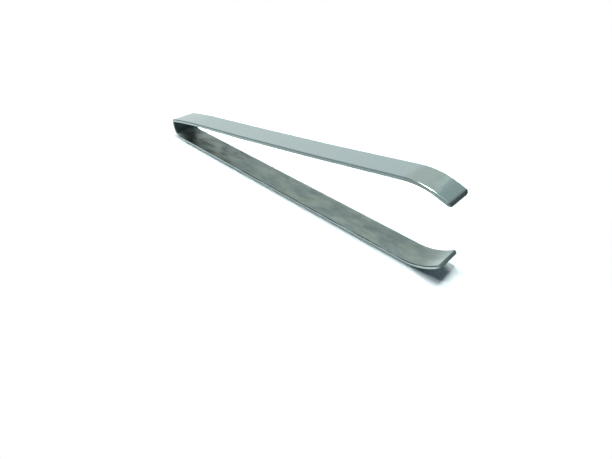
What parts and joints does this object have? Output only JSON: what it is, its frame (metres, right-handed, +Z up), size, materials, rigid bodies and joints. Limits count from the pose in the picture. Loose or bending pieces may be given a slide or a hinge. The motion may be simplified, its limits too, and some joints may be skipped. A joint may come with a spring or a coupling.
{
  "type": "ice tongs",
  "caption": "Plain ice tongs bent from satin stainless steel strip: a springy folded bow, flat arms and inward-curled jaws for picking up ice.",
  "frame": {"origin": "on the surface that the tongs lie on, under the middle of their length and width", "axes": "+X from the bow to the jaws, along the lower arm; +Y across the strip; +Z up from the lower arm to the upper arm"},
  "size_m": [0.1796, 0.015, 0.0398],
  "materials": {
    "satin_steel": "satin, with a fine grain along the strip"
  },
  "bodies": {
    "bow": {"bow": "satin_steel"},
    "upper_shank": {"upper_shank": "satin_steel"},
    "upper_grip": {"upper_grip": "satin_steel"},
    "upper_jaw": {"upper_jaw": "satin_steel"},
    "lower_shank": {"lower_shank": "satin_steel"},
    "lower_grip": {"lower_grip": "satin_steel"},
    "lower_jaw": {"lower_jaw": "satin_steel"}
  },
  "joints": [
    {"name": "upper_root_flex", "type": "hinge", "parent": "bow", "child": "upper_shank", "pos_m": [-0.08409, 0, 0.01097], "axis": [0, 1, 0], "range_deg": [-0.7, 2.47], "stiffness_Nm_per_rad": 25},
    {"name": "upper_middle_flex", "type": "hinge", "parent": "upper_shank", "child": "upper_grip", "pos_m": [-0.03294, 0, 0.02028], "axis": [0, 1, 0], "range_deg": [-0.63, 2.22], "stiffness_Nm_per_rad": 18},
    {"name": "upper_neck_flex", "type": "hinge", "parent": "upper_grip", "child": "upper_jaw", "pos_m": [0.01824, 0, 0.02949], "axis": [0, 1, 0], "range_deg": [-0.35, 1.24], "stiffness_Nm_per_rad": 18},
    {"name": "lower_root_flex", "type": "hinge", "parent": "bow", "child": "lower_shank", "pos_m": [-0.07858, 0, 0.0008], "axis": [0, -1, 0], "range_deg": [-0.7, 2.47], "stiffness_Nm_per_rad": 25},
    {"name": "lower_middle_flex", "type": "hinge", "parent": "lower_shank", "child": "lower_grip", "pos_m": [-0.02658, 0, 0.0008], "axis": [0, -1, 0], "range_deg": [-0.63, 2.22], "stiffness_Nm_per_rad": 18},
    {"name": "lower_neck_flex", "type": "hinge", "parent": "lower_grip", "child": "lower_jaw", "pos_m": [0.02542, 0, 0.0008], "axis": [0, -1, 0], "range_deg": [-0.35, 1.24], "stiffness_Nm_per_rad": 18}
  ],
  "couplings": [
    {"joint": "upper_middle_flex", "follows": "upper_root_flex", "ratio": 0.9},
    {"joint": "upper_neck_flex", "follows": "upper_root_flex", "ratio": 0.5},
    {"joint": "lower_root_flex", "follows": "upper_root_flex", "ratio": 1},
    {"joint": "lower_middle_flex", "follows": "upper_root_flex", "ratio": 0.9},
    {"joint": "lower_neck_flex", "follows": "upper_root_flex", "ratio": 0.5}
  ]
}
